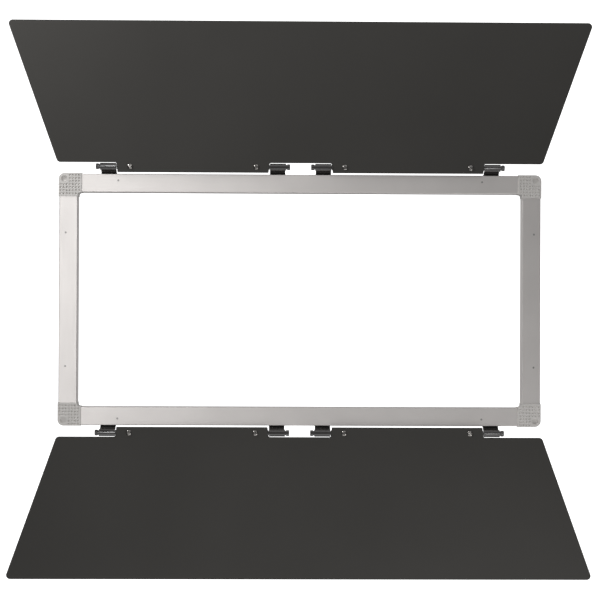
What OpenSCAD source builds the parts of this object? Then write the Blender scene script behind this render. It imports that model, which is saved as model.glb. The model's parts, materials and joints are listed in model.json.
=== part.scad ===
// Barn door attachment for a rectangular LED panel light: a rail frame with four plastic
// corner covers, and two sheet leaves that turn on eight wrapped-band friction hinges.
// X is the width, Z is the height and the front faces -Y. The origin is the centre of the
// frame's back plane, which rests on the light.

/* [Frame] */
// Width over the rails
frame_w = 614; // [604:1:624]
// Height over the rails
frame_h = 320; // [310:1:330]
// Depth of the rails, from the back plane to their front face
frame_d = 18; // [18:0.5:22]
// Width of a rail's front face
rail_w = 23.4; // [22.4:0.1:24.4]
// Wall thickness of the rail extrusion
rail_wall = 1.4; // [1.2:0.1:1.6]
// Width of the lips along the open back of the extrusion
rail_lip = 3.6; // [3:0.1:4.5]
// Radius of the two long edges along the rail's front face
rail_edge_r = 0.8; // [0.3:0.1:1]

/* [Corner covers and keys] */
// Length of a cover's side along the frame's edge
cover_side = 29.5; // [28:0.5:31]
// How far a cover stands proud of the rails' outer walls
cover_proud = 0.8; // [0.6:0.1:1]
// Thickness of the cover plate in front of the rails
cover_plate = 1.4; // [1.3:0.1:1.6]
// Radius of the cover's outer corner
cover_corner_r = 7.8; // [6:0.1:8]
// Pitch of the dimple grid
dimple_pitch = 3.9; // [3.7:0.1:4]
// Radius of a dimple, which is half a ball
dimple_r = 1.1; // [0.7:0.05:1.15]
// Thickness of an L-shaped corner key
key_t = 3; // [2:0.5:4]
// Leg length of a corner key from the frame's outer corner
key_leg = 80; // [78:1:90]

/* [Panel screws] */
// Distance of each corner screw hole from the rails' outer faces
screw_inset = 6.5; // [6.3:0.1:7]
// Diameter of the blind screw holes, open at the back
screw_hole_d = 3.2; // [2.8:0.1:4]
// Depth of the blind screw holes
screw_hole_depth = 14; // [10:0.5:15]
// Diameter of the round recess in front of each screw hole
recess_d = 7.4; // [7:0.1:7.6]
// Depth of the round recess
recess_depth = 2; // [1:0.1:2.5]

/* [Leaves] */
// Thickness of the leaf sheet
sheet_t = 1.5; // [1:0.1:1.6]
// Height of a leaf from the hinge axis to its outer edge
leaf_reach = 185.5; // [170:0.5:190]
// Half width of a leaf at its outer edge
leaf_outer_half_w = 373; // [350:0.5:380]
// Radius of the leaf's four corners
leaf_corner_r = 5; // [3:0.5:8]
// How far the two tabs reach past the hinge axis towards the frame
tab_reach = 7.5; // [6:0.1:7.8]

/* [Hinges] */
// Distance from the rails' outer faces out to the hinge axis
axis_out = 9; // [8.8:0.1:9.4]
// Distance from the rails' front faces forward to the hinge axis
axis_forward = 5; // [4.6:0.1:5.4]
// Diameter over the wrapped band
barrel_d = 9; // [8.8:0.1:9.2]
// Length of the wrapped band along the axis
barrel_len = 20.4; // [20:0.1:21]
// Diameter of the shaft that the band grips
shaft_d = 6.5; // [6.2:0.1:6.6]
// Distance from the middle of the frame to the tab end of an inner barrel
inner_hinge_x = 39; // [38:0.5:39]
// Distance from the middle of the frame to the tab end of an outer barrel
outer_hinge_x = 234.2; // [234.2:0.1:236]

/* [Hidden] */
$fn = 96;
eps = 0.01;
over = 1;

half_w = frame_w / 2;
half_h = frame_h / 2;
axis_y = -(frame_d + axis_forward);
axis_z = half_h + axis_out;

// corner covers
plate_front = -(frame_d + cover_plate);
boss_r = 5.4;
hollow_r = 4;
inner_lip = 0.5;
fillet_r = 3;
dimple_count = 7;
dimple_first = 2.6 - cover_proud;
recess_zone = 10.5;
inner_zone = 45;

// corner keys and their rivets
key_gap = 0.1;
key_front = -frame_d + rail_wall;
rivet_d = 2.4;
rivet_hole_d = 2.5;
rivet_along = 75;
rivet_in = 8.5;
rivet_sunk = 0.3;
rivet_tail_d = 3.4;
rivet_tail_t = 0.8;

// hinge bands
running_gap = 0.05;
bore_r = shaft_d / 2 + running_gap;
barrel_r = barrel_d / 2;
strip_t = 1.1;
strip_w = barrel_len - 0.8;
strip_start_w = -bore_r - strip_t / 2 - 0.06;
strip_pad_w = -axis_out + strip_t / 2;
bend_start = 3;
bend_end = 10.9;
bend_steps = 10;
strip_end = axis_forward + frame_d - 1;
slit_from = -52;
slit_to = -78;
band_screw_y = -6.2;
band_screw_apart = 10;
band_screw_d = 3;
band_hole_d = 3.2;
tapped_gap = 0.04;
band_screw_len = 5;
band_head_d = 5.5;
band_head_h = 1.7;
small_cross_len = 2.9;
small_cross_w = 0.7;

// shafts: s runs along the axis from the tab end of the barrel towards its free end
neck_d = 6;
neck_len = 1.5;
head_d = 7.5;
head_len = 3.8;
head_chamfer = 0.5;
collar_d = 5;
collar_len = 0.5;
tang_t = 2.5;
tang_w = 7;
tang_end = 23;
leaf_screw_s = -17.5;

// leaf screws
leaf_screw_d = 3;
leaf_hole_d = 3.4;
leaf_screw_len = 5;
leaf_head_d = 7;
leaf_head_h = 2;
large_cross_len = 4;
large_cross_w = 1.1;
cross_share = 0.6;

// leaf outline, measured out from the hinge axis
leaf_base = 5;
leaf_base_half_w = half_w + 1.3;
tab_gap = 0.6;
tab_taper = 1.2;
notch_r = 2.2;
tab_tip_r = 0.8;
arc_steps = 8;

metal = [0.80, 0.79, 0.78];
key_metal = [0.70, 0.70, 0.70];
cover_grey = [0.82, 0.81, 0.79];
charcoal = [0.22, 0.21, 0.20];
black_steel = [0.13, 0.12, 0.12];
dark_steel = [0.30, 0.29, 0.28];

// ---------- helpers ----------

// Extrudes a shape drawn in (Y, Z) along X, from x = 0.
module along_x(length) { rotate([90, 0, 90]) linear_extrude(length) children(); }

// Extrudes a shape drawn in (X, Z) along Y, between the two depths.
module through_y(front, back) {
  translate([0, back, 0]) rotate([90, 0, 0]) linear_extrude(back - front) children();
}

// A cylinder along Y, at x and z, between the two depths.
module rod_y(x, z, d, front, back) {
  translate([x, back, z]) rotate([90, 0, 0]) cylinder(h = back - front, d = d);
}

// Flips a shape made for the right side (+1) to the left side (-1).
module side_x(sign) { mirror([sign < 0 ? 1 : 0, 0, 0]) children(); }

// Flips a shape made for the top (+1) to the bottom (-1).
module side_z(sign) { mirror([0, 0, sign < 0 ? 1 : 0]) children(); }

// Unit vector from p to q.
function direction(p, q) = (q - p) / norm(q - p);

// Points of the arc that rounds corner b between its neighbours a and c.
function corner_arc(a, b, c, r) =
  let (
    to_a = direction(b, a),
    to_c = direction(b, c),
    half = acos(to_a * to_c) / 2,
    centre = b + direction([0, 0], to_a + to_c) * r / sin(half),
    first = b + to_a * r / tan(half) - centre,
    last = b + to_c * r / tan(half) - centre,
    start = atan2(first[1], first[0]),
    sweep = atan2(first[0] * last[1] - first[1] * last[0], first * last)
  )
  [for (i = [0 : arc_steps]) centre + r * [cos(start + sweep * i / arc_steps), sin(start + sweep * i / arc_steps)]];

// An outline of [x, y, radius] points with every corner rounded by its own radius.
function rounded(points) =
  let (n = len(points), at = [for (p = points) [p[0], p[1]]])
  [for (i = [0 : n - 1]) each corner_arc(at[(i + n - 1) % n], at[i], at[(i + 1) % n], points[i][2])];

// A pan-head screw with its head's seat at z = 0, its shank along -Z and a cross recess.
module pan_screw(head_d, head_h, shank_d, length, cross_len, cross_w) {
  dome_r = (head_h * head_h + head_d * head_d / 4) / (2 * head_h) * 1.25;
  difference() {
    union() {
      intersection() {
        cylinder(h = head_h, d = head_d);
        translate([0, 0, head_h - dome_r]) sphere(r = dome_r);
      }
      translate([0, 0, -length]) cylinder(h = length + eps, d = shank_d);
    }
    for (turn = [0, 90])
      rotate(turn)
        translate([-cross_len / 2, -cross_w / 2, head_h * (1 - cross_share)])
          cube([cross_len, cross_w, head_h]);
  }
}

// ---------- frame ----------

// The outside of a rail's section, in (Y, Z), with two rounded front edges.
module rail_outline(span) {
  inner_edge = span - rail_w;
  translate([-frame_d + rail_edge_r, inner_edge]) square([frame_d - rail_edge_r, rail_w]);
  translate([-frame_d, inner_edge + rail_edge_r]) square([frame_d, rail_w - 2 * rail_edge_r]);
  for (z = [inner_edge + rail_edge_r, span - rail_edge_r])
    translate([-frame_d + rail_edge_r, z]) circle(r = rail_edge_r);
}

// A C-shaped extrusion, open at the back between two lips, with its outer wall at z = span.
module rail(length, span) {
  color(metal)
    difference() {
      translate([-length / 2, 0, 0])
        along_x(length)
          difference() {
            rail_outline(span);
            translate([-frame_d + rail_wall, span - rail_w + rail_wall])
              square([frame_d - 2 * rail_wall, rail_w - 2 * rail_wall]);
            translate([-rail_wall - over, span - rail_w + rail_lip])
              square([rail_wall + 2 * over, rail_w - 2 * rail_lip]);
          }
      for (end = [-1, 1])
        rod_y(end * (length / 2 + rail_w - rivet_along), span - rivet_in, rivet_hole_d,
              -frame_d - over, key_front + over);
      children();
    }
}

module band_screw_holes() {
  for (side = [-1, 1])
    for (hinge = [[inner_hinge_x, -1], [outer_hinge_x, 1]])
      for (k = [-1, 1])
        translate([side * band_screw_x(hinge, k), band_screw_y, half_h - rail_wall - over])
          cylinder(h = rail_wall + 2 * over, d = band_screw_d + 2 * tapped_gap);
}

module long_rail() { rail(frame_w - 2 * rail_w, half_h) band_screw_holes(); }
module top_rail() { long_rail(); }
module bottom_rail() { side_z(-1) long_rail(); }
module right_rail() { rotate([0, 90, 0]) rail(frame_h - 2 * rail_w, half_w); }
module left_rail() { side_x(-1) right_rail(); }

// Moves to the frame's outer corner, with +X and +Z pointing inwards along the rails.
module at_corner(side, level) {
  side_x(side) side_z(level) translate([half_w, 0, half_h]) rotate([0, 180, 0]) children();
}

// A square from one point of the diagonal to another, with its first corner rounded.
module corner_square(from, to, r) {
  polygon([
    [to, from], [to, to], [from, to],
    each corner_arc([from, to], [from, from], [to, from], r)
  ]);
}

// The outline of a cover, with a rounded outer corner and a hollow inner one.
module cover_outline() {
  inner = cover_side - cover_proud;
  difference() {
    corner_square(-cover_proud, inner, cover_corner_r);
    corner_square(rail_w + inner_lip, inner + over, fillet_r);
  }
}

// True where the grid leaves a dimple out: round the screw recess and at the hollow corner.
function no_dimple(x, z) =
  (x < recess_zone && z < recess_zone) || x + z > inner_zone + dimple_first;

module corner_cover(side, level) {
  color(cover_grey)
    at_corner(side, level)
      difference() {
        union() {
          difference() {
            through_y(plate_front, 0) cover_outline();
            // the rails and the key lie under the plate
            through_y(-frame_d, over) square([cover_side + over, rail_w]);
            through_y(-frame_d, over) square([rail_w, cover_side + over]);
          }
          // the outer walls, in line with the rails' own
          through_y(-frame_d - eps, 0)
            difference() {
              intersection() {
                cover_outline();
                translate([-cover_proud, -cover_proud]) square(rail_w + cover_proud);
              }
              corner_square(rail_wall, rail_w + over, hollow_r);
            }
          rod_y(screw_inset, screw_inset, 2 * boss_r, -frame_d - eps, 0);
        }
        rod_y(screw_inset, screw_inset, screw_hole_d, -screw_hole_depth, over);
        rod_y(screw_inset, screw_inset, recess_d, plate_front - over, plate_front + recess_depth);
        for (i = [0 : dimple_count - 1], j = [0 : dimple_count - 1]) {
          x = dimple_first + i * dimple_pitch;
          z = dimple_first + j * dimple_pitch;
          if (!no_dimple(x, z))
            translate([x, plate_front, z]) sphere(r = dimple_r, $fn = 24);
        }
      }
}

// An L-shaped plate that lies inside the two rails and joins them.
module corner_key(side, level) {
  inside = rail_wall + key_gap;
  leg_w = rail_w - 2 * inside;
  color(key_metal)
    at_corner(side, level)
      difference() {
        through_y(key_front, key_front + key_t)
          difference() {
            union() {
              translate([inside, inside]) square([key_leg - inside, leg_w]);
              translate([inside, inside]) square([leg_w, key_leg - inside]);
            }
            // a notch for the cover's rounded corner and screw boss
            square(screw_inset);
          }
        rod_y(screw_inset, screw_inset, 2 * (boss_r + key_gap), -frame_d, 0);
        rod_y(rivet_along, rivet_in, rivet_hole_d, -frame_d, 0);
        rod_y(rivet_in, rivet_along, rivet_hole_d, -frame_d, 0);
      }
}

// One rivet through a rail's front wall and the key behind it.
module rivet(x, z) {
  rod_y(x, z, rivet_d, -frame_d + rivet_sunk, key_front + key_t + eps);
  rod_y(x, z, rivet_tail_d, key_front + key_t, key_front + key_t + rivet_tail_t);
}

module corner_key_rivets() {
  color(dark_steel)
    for (side = [-1, 1], level = [-1, 1])
      at_corner(side, level) {
        rivet(rivet_along, rivet_in);
        rivet(rivet_in, rivet_along);
      }
}

// ---------- hinges ----------

// X of a band screw on the right half: hinge is [tab end of the barrel, direction of s].
function band_screw_x(hinge, k) = hinge[0] + hinge[1] * (strip_w / 2 + k * band_screw_apart / 2);

// Moves to a hinge's axis, with +X along s, +Y to the back and +Z away from the frame.
module at_hinge(side, level, hinge) {
  side_x(side) side_z(level)
    translate([hinge[0], axis_y, axis_z]) side_x(hinge[1]) children();
}

// The middle line of the strip: along the axis' underside, down an S-bend and along the rail.
function strip_line() = concat(
  [[0, strip_start_w]],
  [for (i = [0 : bend_steps])
    let (t = i / bend_steps)
    [bend_start + (bend_end - bend_start) * t,
     strip_start_w + (strip_pad_w - strip_start_w) * (3 * t * t - 2 * t * t * t)]],
  [[strip_end, strip_pad_w]]
);

// The line shifted sideways by half the strip's thickness.
function shifted(line, d) =
  [for (i = [0 : len(line) - 1])
    let (
      before = direction(line[max(i - 1, 0)], line[max(i, 1)]),
      after = direction(line[min(i, len(line) - 2)], line[min(i + 1, len(line) - 1)]),
      mean = direction([0, 0], before + after)
    )
    line[i] + [-mean[1], mean[0]] * d / (mean * before)];

function reversed(list) = [for (i = [len(list) - 1 : -1 : 0]) list[i]];

// A steel band wrapped round the shaft, with its tail screwed to the rail's outer wall.
module hinge_band(side, level, hinge) {
  line = strip_line();
  reach = barrel_r + over;
  color(black_steel)
    at_hinge(side, level, hinge)
      difference() {
        union() {
          along_x(barrel_len)
            difference() {
              circle(r = barrel_r);
              circle(r = bore_r);
              polygon([[0, 0], reach * [cos(slit_from), sin(slit_from)],
                       reach * [cos(slit_to), sin(slit_to)]]);
            }
          along_x(strip_w)
            polygon(concat(shifted(line, strip_t / 2), reversed(shifted(line, -strip_t / 2))));
        }
        for (k = [-1, 1])
          translate([strip_w / 2 + k * band_screw_apart / 2, band_screw_y - axis_y, -axis_out - over])
            cylinder(h = strip_t + 2 * over, d = band_hole_d);
      }
}

// The two pairs of screws on each side that hold one long rail's bands.
module band_screws(level) {
  color(dark_steel)
    for (side = [-1, 1])
      for (hinge = [[inner_hinge_x, -1], [outer_hinge_x, 1]])
        for (k = [-1, 1])
          side_z(level)
            translate([side * band_screw_x(hinge, k), band_screw_y, half_h + strip_t])
              pan_screw(band_head_d, band_head_h, band_screw_d, band_screw_len,
                        small_cross_len, small_cross_w);
}

// A friction shaft: a head, a neck, the journal in the band, a collar and a flat tang.
module hinge_shaft(side, level, hinge) {
  color(black_steel)
    at_hinge(side, level, hinge) {
      rotate([0, 90, 0]) {
        cylinder(h = barrel_len, d = shaft_d);
        translate([0, 0, barrel_len - eps]) cylinder(h = neck_len + 2 * eps, d = neck_d);
        translate([0, 0, barrel_len + neck_len]) {
          cylinder(h = head_len - head_chamfer, d = head_d);
          translate([0, 0, head_len - head_chamfer])
            cylinder(h = head_chamfer, d1 = head_d, d2 = head_d - 2 * head_chamfer);
        }
        translate([0, 0, -collar_len]) cylinder(h = collar_len + eps, d = collar_d);
      }
      difference() {
        translate([-tang_end, -tang_t / 2, -tang_w / 2])
          cube([tang_end - collar_len + eps, tang_t, tang_w]);
        rod_y(leaf_screw_s, 0, leaf_screw_d + 2 * tapped_gap, -tang_t, tang_t);
      }
    }
}

// ---------- leaves ----------

// Half of a leaf's outline, as [x, distance from the axis, corner radius].
function leaf_half() = [
  [inner_hinge_x + tab_gap, leaf_base, notch_r],
  [inner_hinge_x + tab_gap + tab_taper, -tab_reach, tab_tip_r],
  [outer_hinge_x - tab_gap - tab_taper, -tab_reach, tab_tip_r],
  [outer_hinge_x - tab_gap, leaf_base, notch_r],
  [leaf_base_half_w, leaf_base, leaf_corner_r],
  [leaf_outer_half_w, leaf_reach, leaf_corner_r]
];

module leaf(level) {
  half = leaf_half();
  outline = concat(half, [for (p = reversed(half)) [-p[0], p[1], p[2]]]);
  sheet_back = axis_y - tang_t / 2;
  color(charcoal)
    side_z(level)
      difference() {
        translate([0, 0, axis_z])
          through_y(sheet_back - sheet_t, sheet_back) polygon(rounded(outline));
        for (side = [-1, 1], hinge = [[inner_hinge_x, -1], [outer_hinge_x, 1]])
          rod_y(side * (hinge[0] + hinge[1] * leaf_screw_s), axis_z, leaf_hole_d,
                sheet_back - sheet_t - over, sheet_back + over);
      }
}
module top_leaf() { leaf(1); }
module bottom_leaf() { leaf(-1); }

module leaf_screws(level) {
  color(dark_steel)
    side_z(level)
      for (side = [-1, 1], hinge = [[inner_hinge_x, -1], [outer_hinge_x, 1]])
        translate([side * (hinge[0] + hinge[1] * leaf_screw_s), axis_y - tang_t / 2 - sheet_t, axis_z])
          rotate([90, 0, 0])
            pan_screw(leaf_head_d, leaf_head_h, leaf_screw_d, leaf_screw_len,
                      large_cross_len, large_cross_w);
}

// ---------- the object ----------

inner = [inner_hinge_x, -1];
outer = [outer_hinge_x, 1];

top_rail();
bottom_rail();
left_rail();
right_rail();
corner_cover(-1, 1);  // corner_cover_top_left
corner_cover(1, 1);  // corner_cover_top_right
corner_cover(-1, -1);  // corner_cover_bottom_left
corner_cover(1, -1);  // corner_cover_bottom_right
corner_key(-1, 1);  // corner_key_top_left
corner_key(1, 1);  // corner_key_top_right
corner_key(-1, -1);  // corner_key_bottom_left
corner_key(1, -1);  // corner_key_bottom_right
corner_key_rivets();
hinge_band(-1, 1, outer);  // hinge_band_top_outer_left
hinge_band(-1, 1, inner);  // hinge_band_top_inner_left
hinge_band(1, 1, inner);  // hinge_band_top_inner_right
hinge_band(1, 1, outer);  // hinge_band_top_outer_right
hinge_band(-1, -1, outer);  // hinge_band_bottom_outer_left
hinge_band(-1, -1, inner);  // hinge_band_bottom_inner_left
hinge_band(1, -1, inner);  // hinge_band_bottom_inner_right
hinge_band(1, -1, outer);  // hinge_band_bottom_outer_right
band_screws(1);  // band_screws_top
band_screws(-1);  // band_screws_bottom
hinge_shaft(-1, 1, outer);  // hinge_shaft_top_outer_left
hinge_shaft(-1, 1, inner);  // hinge_shaft_top_inner_left
hinge_shaft(1, 1, inner);  // hinge_shaft_top_inner_right
hinge_shaft(1, 1, outer);  // hinge_shaft_top_outer_right
hinge_shaft(-1, -1, outer);  // hinge_shaft_bottom_outer_left
hinge_shaft(-1, -1, inner);  // hinge_shaft_bottom_inner_left
hinge_shaft(1, -1, inner);  // hinge_shaft_bottom_inner_right
hinge_shaft(1, -1, outer);  // hinge_shaft_bottom_outer_right
top_leaf();
bottom_leaf();
leaf_screws(1);  // leaf_screws_top
leaf_screws(-1);  // leaf_screws_bottom
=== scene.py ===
import json
import math

import bpy
from mathutils import Matrix, Vector


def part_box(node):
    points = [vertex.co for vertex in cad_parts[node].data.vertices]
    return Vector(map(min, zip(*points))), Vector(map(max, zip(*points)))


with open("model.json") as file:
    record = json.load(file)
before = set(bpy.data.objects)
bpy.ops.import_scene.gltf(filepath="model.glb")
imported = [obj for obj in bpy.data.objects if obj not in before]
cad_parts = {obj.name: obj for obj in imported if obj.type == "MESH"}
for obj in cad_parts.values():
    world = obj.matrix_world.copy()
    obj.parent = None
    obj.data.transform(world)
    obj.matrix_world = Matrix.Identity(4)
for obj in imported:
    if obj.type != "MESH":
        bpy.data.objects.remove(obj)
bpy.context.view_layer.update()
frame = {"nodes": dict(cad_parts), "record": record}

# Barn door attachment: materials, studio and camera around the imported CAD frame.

NODES = frame["nodes"]
RECORD = frame["record"]


# ---------- node helpers ----------

def new_material(name):
    """An empty node material with its Principled shader and output, and the node tree."""
    material = bpy.data.materials.new(name)
    material.use_nodes = True
    tree = material.node_tree
    shader = next(n for n in tree.nodes if n.type == "BSDF_PRINCIPLED")
    return material, tree, shader


def add(tree, kind, **inputs):
    """A node of that kind, with its inputs set by name (spaces written as underscores)."""
    node = tree.nodes.new(kind)
    for key, value in inputs.items():
        node.inputs[key.replace("_", " ")].default_value = value
    return node


def object_coordinates(tree, scale=(1, 1, 1)):
    """Coordinates in metres on the piece, stretched by scale."""
    place = tree.nodes.new("ShaderNodeTexCoord")
    mapping = tree.nodes.new("ShaderNodeMapping")
    mapping.inputs["Scale"].default_value = scale
    tree.links.new(place.outputs["Object"], mapping.inputs["Vector"])
    return mapping.outputs["Vector"]


def noise(tree, vector, scale, detail=3.0, roughness=0.5):
    node = add(tree, "ShaderNodeTexNoise", Scale=scale, Detail=detail, Roughness=roughness)
    tree.links.new(vector, node.inputs["Vector"])
    return node.outputs["Fac"]


def remap(tree, value, low, high, from_low=0.3, from_high=0.7):
    node = tree.nodes.new("ShaderNodeMapRange")
    node.inputs["From Min"].default_value = from_low
    node.inputs["From Max"].default_value = from_high
    node.inputs["To Min"].default_value = low
    node.inputs["To Max"].default_value = high
    tree.links.new(value, node.inputs["Value"])
    return node.outputs["Result"]


def blend_colours(tree, factor, first, second):
    node = tree.nodes.new("ShaderNodeMix")
    node.data_type = "RGBA"
    node.inputs["A"].default_value = (*first, 1)
    node.inputs["B"].default_value = (*second, 1)
    tree.links.new(factor, node.inputs["Factor"])
    return node.outputs["Result"]


def add_bump(tree, shader, heights, rounding=None):
    """Bumps one over the other, each (height output, strength, distance in metres).

    With rounding, in metres, the edges are shaded as rounded under the bumps.
    """
    normal = add(tree, "ShaderNodeBevel", Radius=rounding).outputs["Normal"] if rounding else None
    for height, strength, distance in heights:
        bump = add(tree, "ShaderNodeBump", Strength=strength, Distance=distance)
        tree.links.new(height, bump.inputs["Height"])
        if normal is not None:
            tree.links.new(normal, bump.inputs["Normal"])
        normal = bump.outputs["Normal"]
    tree.links.new(normal, shader.inputs["Normal"])


def edge_wear(tree, radius):
    """1 on worn edges and 0 elsewhere, from the angle between the bevelled and the true normal."""
    bevel = tree.nodes.new("ShaderNodeBevel")
    bevel.inputs["Radius"].default_value = radius
    geometry = tree.nodes.new("ShaderNodeNewGeometry")
    dot = tree.nodes.new("ShaderNodeVectorMath")
    dot.operation = "DOT_PRODUCT"
    tree.links.new(bevel.outputs["Normal"], dot.inputs[0])
    tree.links.new(geometry.outputs["Normal"], dot.inputs[1])
    return remap(tree, dot.outputs["Value"], 1.0, 0.0, 0.90, 0.995)


def multiply(tree, first, second):
    node = tree.nodes.new("ShaderNodeMath")
    node.operation = "MULTIPLY"
    tree.links.new(first, node.inputs[0])
    tree.links.new(second, node.inputs[1])
    return node.outputs["Value"]


def cover_with(tree, under, over_colour, factor):
    """The under colour, with over_colour laid on it as far as factor says."""
    mix = tree.nodes.new("ShaderNodeMix")
    mix.data_type = "RGBA"
    mix.inputs["B"].default_value = (*over_colour, 1)
    tree.links.new(factor, mix.inputs["Factor"])
    tree.links.new(under, mix.inputs["A"])
    return mix.outputs["Result"]


# ---------- materials ----------

BARED_METAL = (0.12, 0.115, 0.11)
RUBBED_STEEL = (0.30, 0.29, 0.28)
BLACKENED_STEEL = (0.030, 0.028, 0.027)
RUBBED_BLACK = (0.11, 0.105, 0.10)
GLOSSY_BLACK_ROUGHNESS = 0.07


def anodised_aluminium(name, stretch):
    """Satin anodised extrusion, with fine die lines along the rail."""
    material, tree, shader = new_material(name)
    lines = noise(tree, object_coordinates(tree, stretch), 900, 2, 0.6)
    clouds = noise(tree, object_coordinates(tree), 22, 3)
    grain = noise(tree, object_coordinates(tree), 4200, 2)
    tint = blend_colours(tree, remap(tree, clouds, 0, 1), (0.80, 0.766, 0.745), (0.845, 0.81, 0.788))
    tree.links.new(tint, shader.inputs["Base Color"])
    shader.inputs["Metallic"].default_value = 1.0
    tree.links.new(remap(tree, lines, 0.39, 0.42), shader.inputs["Roughness"])
    add_bump(tree, shader, [(lines, 0.02, 0.00002), (grain, 0.05, 0.00002)])
    return material


def cover_plastic():
    """Silver-grey moulded plastic with a fine spark-eroded grain."""
    material, tree, shader = new_material("cover_plastic_look")
    grain = noise(tree, object_coordinates(tree), 2600, 3, 0.6)
    clouds = noise(tree, object_coordinates(tree), 60, 2)
    tint = blend_colours(tree, remap(tree, clouds, 0, 1), (0.72, 0.698, 0.675), (0.76, 0.737, 0.713))
    tree.links.new(tint, shader.inputs["Base Color"])
    shader.inputs["Metallic"].default_value = 0.5
    tree.links.new(remap(tree, grain, 0.46, 0.60), shader.inputs["Roughness"])
    shader.inputs["Specular IOR Level"].default_value = 0.45
    add_bump(tree, shader, [(grain, 0.25, 0.00004)], rounding=0.0007)
    return material


def leaf_coating():
    """Matte charcoal powder coat: a fine orange peel, with slightly bared edges."""
    material, tree, shader = new_material("leaf_paint_look")
    peel = noise(tree, object_coordinates(tree), 1500, 3, 0.55)
    speckle = noise(tree, object_coordinates(tree), 5200, 2, 0.6)
    clouds = noise(tree, object_coordinates(tree), 7, 3, 0.5)
    coat = blend_colours(tree, remap(tree, clouds, 0, 1), (0.047, 0.0450, 0.0412), (0.052, 0.0498, 0.0457))
    wear = multiply(tree, edge_wear(tree, 0.0005), remap(tree, speckle, 0.0, 0.5, 0.45, 0.6))
    tree.links.new(cover_with(tree, coat, BARED_METAL, wear), shader.inputs["Base Color"])
    tree.links.new(remap(tree, peel, 0.50, 0.60), shader.inputs["Roughness"])
    shader.inputs["Specular IOR Level"].default_value = 0.25
    add_bump(tree, shader, [(peel, 0.15, 0.00005), (speckle, 0.15, 0.00002)])
    return material


def dark_steel(name, colour, roughness, metallic=1.0, worn=RUBBED_STEEL):
    """Plated or blackened steel, rubbed brighter along its edges."""
    material, tree, shader = new_material(name)
    smudge = noise(tree, object_coordinates(tree), 240, 3, 0.6)
    grain = noise(tree, object_coordinates(tree), 3800, 2)
    base = blend_colours(tree, remap(tree, smudge, 0, 1), colour, tuple(c * 1.35 for c in colour))
    wear = multiply(tree, edge_wear(tree, 0.0003), remap(tree, grain, 0.1, 0.7, 0.4, 0.6))
    tree.links.new(cover_with(tree, base, worn, wear), shader.inputs["Base Color"])
    shader.inputs["Metallic"].default_value = metallic
    shader.inputs["Specular IOR Level"].default_value = 1.0
    tree.links.new(remap(tree, smudge, roughness * 0.8, roughness * 1.3), shader.inputs["Roughness"])
    add_bump(tree, shader, [(grain, 0.01, 0.00002)])
    return material


def plain_aluminium():
    """Sawn and stamped aluminium plate, out of sight inside the rails."""
    material, tree, shader = new_material("key_aluminium_look")
    grain = noise(tree, object_coordinates(tree), 1200, 3)
    clouds = noise(tree, object_coordinates(tree), 90, 2)
    tint = blend_colours(tree, remap(tree, clouds, 0, 1), (0.60, 0.60, 0.60), (0.70, 0.70, 0.70))
    tree.links.new(tint, shader.inputs["Base Color"])
    shader.inputs["Metallic"].default_value = 1.0
    tree.links.new(remap(tree, grain, 0.40, 0.55), shader.inputs["Roughness"])
    add_bump(tree, shader, [(grain, 0.2, 0.00003)])
    return material


LOOKS = {
    "cover_plastic": cover_plastic(),
    "key_aluminium": plain_aluminium(),
    "rivet_steel": dark_steel("rivet_steel_look", (0.35, 0.34, 0.33), 0.42),
    "band_steel": dark_steel("band_steel_look", BLACKENED_STEEL, GLOSSY_BLACK_ROUGHNESS, 0.0, RUBBED_BLACK),
    "shaft_steel": dark_steel("shaft_steel_look", BLACKENED_STEEL, GLOSSY_BLACK_ROUGHNESS, 0.0, RUBBED_BLACK),
    "screw_steel": dark_steel("screw_steel_look", (0.22, 0.21, 0.20), 0.11),
    "leaf_paint": leaf_coating(),
}
RAIL_LOOKS = {
    "long": anodised_aluminium("rail_aluminium_along_x", (0.02, 1, 1)),
    "short": anodised_aluminium("rail_aluminium_along_z", (1, 1, 0.02)),
}


def set_material(piece, material):
    piece.data.materials.clear()
    piece.data.materials.append(material)


WELD_DISTANCE = 0.000002
HARD_EDGE_DEGREES = 40


def soften_edges(piece, width):
    """Rounds the hard edges of a piece's shown surface."""
    weld = piece.modifiers.new("weld", "WELD")
    weld.merge_threshold = WELD_DISTANCE
    bevel = piece.modifiers.new("bevel", "BEVEL")
    bevel.width = width
    bevel.segments = 2
    bevel.limit_method = "ANGLE"
    bevel.angle_limit = math.radians(HARD_EDGE_DEGREES)
    bevel.harden_normals = True
    bevel.use_clamp_overlap = True


EDGE_RADII = {
    "leaf_paint": 0.0003,
    "screw_steel": 0.00012,
}

for entry in RECORD["subparts"]:
    piece = NODES[entry["node"]]
    slot = entry["material_slot"]
    if slot == "rail_aluminium":
        low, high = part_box(entry["node"])
        look = RAIL_LOOKS["long" if high.x - low.x > high.z - low.z else "short"]
    else:
        look = LOOKS[slot]
    set_material(piece, look)
    if slot in EDGE_RADII:
        soften_edges(piece, EDGE_RADII[slot])


# ---------- studio ----------

def studio_surface(name, base, emission):
    material, tree, shader = new_material(name)
    shader.inputs["Base Color"].default_value = (base, base, base, 1)
    shader.inputs["Roughness"].default_value = 0.9
    shader.inputs["Emission Color"].default_value = (1, 1, 1, 1)
    shader.inputs["Emission Strength"].default_value = emission
    return material


def stage_plane(name, corners, material):
    """A flat piece of the studio through its four corners."""
    mesh = bpy.data.meshes.new(name)
    mesh.from_pydata(corners, [], [tuple(range(len(corners)))])
    mesh.materials.append(material)
    piece = bpy.data.objects.new(name, mesh)
    bpy.context.scene.collection.objects.link(piece)
    return piece


def wall(name, y, material):
    """An upright piece of the studio behind the object."""
    return stage_plane(name, [(-ROOM_HALF, y, FLOOR_Z), (ROOM_HALF, y, FLOOR_Z),
                              (ROOM_HALF, y, ROOM_TOP), (-ROOM_HALF, y, ROOM_TOP)], material)


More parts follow.
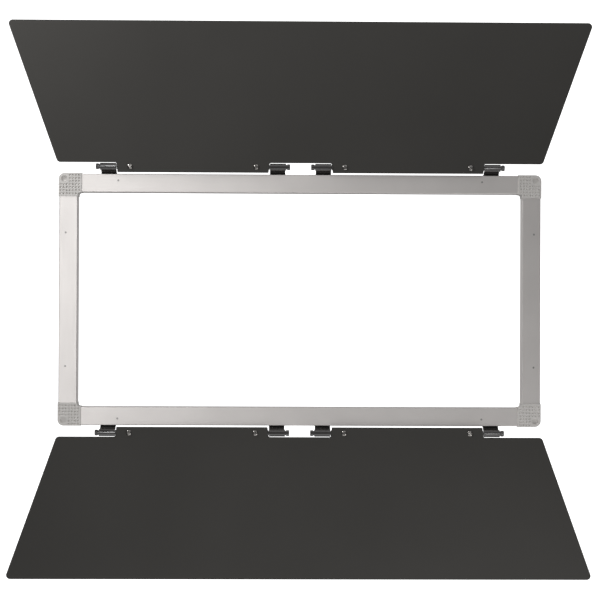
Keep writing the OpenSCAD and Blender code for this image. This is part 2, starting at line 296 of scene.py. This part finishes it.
def softbox(name, place, size, power, target=(0, 0, 0)):
    """An area light that faces its target and stays out of the picture."""
    light = bpy.data.lights.new(name, "AREA")
    light.shape = "RECTANGLE"
    light.size, light.size_y = size
    light.energy = power
    lamp = bpy.data.objects.new(name, light)
    lamp.location = place
    lamp.rotation_euler = (Vector(target) - Vector(place)).to_track_quat("-Z", "Y").to_euler()
    lamp.visible_camera = False
    bpy.context.scene.collection.objects.link(lamp)


# The camera sees the backdrop and floor, but diffuse and glossy rays don't. Behind the object those
# rays meet the grey card, which the camera doesn't see.
FLOOR_Z = -1.1
WALL_Y = 3.3
CARD_GAP = 0.05
ROOM_HALF = 5.0
ROOM_TOP = 4.0
ROOM_FRONT = -4.5

floor = stage_plane("studio_floor", [(-ROOM_HALF, ROOM_FRONT, FLOOR_Z), (ROOM_HALF, ROOM_FRONT, FLOOR_Z),
                                     (ROOM_HALF, WALL_Y, FLOOR_Z), (-ROOM_HALF, WALL_Y, FLOOR_Z)],
                    studio_surface("studio_floor_white", 0.85, 0.45))
backdrop = wall("studio_backdrop", WALL_Y, studio_surface("studio_backdrop_white", 0.85, 1.1))
for lit in (floor, backdrop):
    lit.visible_glossy = False
    lit.visible_diffuse = False
grey_card = wall("grey_card", WALL_Y - CARD_GAP, studio_surface("grey_card_grey", 0.2, 0.45))
grey_card.visible_camera = False

# The two slits draw the thin bright line along the hinge barrels.
softbox("left_slit", (-0.46, -2.05, 0.45), (0.04, 0.8), 1.2)
softbox("right_slit", (0.52, -2.05, -0.38), (0.04, 0.8), 0.6)
softbox("low_right", (0.62, -0.4, -0.75), (0.35, 0.3), 0.9, (0.35, 0, -0.3))
softbox("camera_strip", (-0.65, -2.1, 0.0), (0.16, 1.3), 4.0)
softbox("behind_camera", (0, -3.4, 0.2), (2.4, 1.6), 2.0)
softbox("high_left", (-0.75, -0.35, 0.65), (0.3, 0.3), 4.0, (-0.3, 0, 0.3))
softbox("low_strip", (0.25, -0.45, -0.8), (1.4, 0.8), 3.4, (0.35, 0, -0.3))
softbox("high_strip", (0.25, -0.45, 0.8), (1.2, 0.8), 2.0, (0.25, 0, 0.3))

world = bpy.data.worlds.new("studio")
world.use_nodes = True
background = next(n for n in world.node_tree.nodes if n.type == "BACKGROUND")
background.inputs["Color"].default_value = (1, 1, 1, 1)
rays = world.node_tree.nodes.new("ShaderNodeLightPath")
WORLD_LIGHT = 0.12
WORLD_SEEN = 0.85
seen = remap(world.node_tree, rays.outputs["Is Camera Ray"], WORLD_LIGHT, WORLD_SEEN, 0.0, 1.0)
world.node_tree.links.new(seen, background.inputs["Strength"])
bpy.context.scene.world = world


# ---------- camera ----------

FRONT_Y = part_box("top_rail")[0].y
CAMERA_DISTANCE = 2.0
CAMERA_SIDE = -0.028
CAMERA_RISE = -0.0106
CAMERA_TURN = -0.80
CAMERA_PITCH = 0.309
CAMERA_ROLL = -0.227
SENSOR_MM = 36.0
FOCAL_MM = 94.15

camera_data = bpy.data.cameras.new("camera")
camera_data.sensor_width = SENSOR_MM
camera_data.lens = FOCAL_MM
camera_data.clip_end = 20
camera = bpy.data.objects.new("camera", camera_data)
level = Matrix.Rotation(math.radians(90), 4, "X")
turned = (Matrix.Rotation(math.radians(CAMERA_TURN), 4, "Z")
          @ Matrix.Rotation(math.radians(CAMERA_PITCH), 4, "X")
          @ Matrix.Rotation(math.radians(CAMERA_ROLL), 4, "Y"))
camera.matrix_world = (Matrix.Translation((CAMERA_SIDE, FRONT_Y - CAMERA_DISTANCE, CAMERA_RISE))
                       @ turned @ level)
bpy.context.scene.collection.objects.link(camera)
bpy.context.scene.camera = camera

bpy.context.scene.view_settings.view_transform = "Standard"
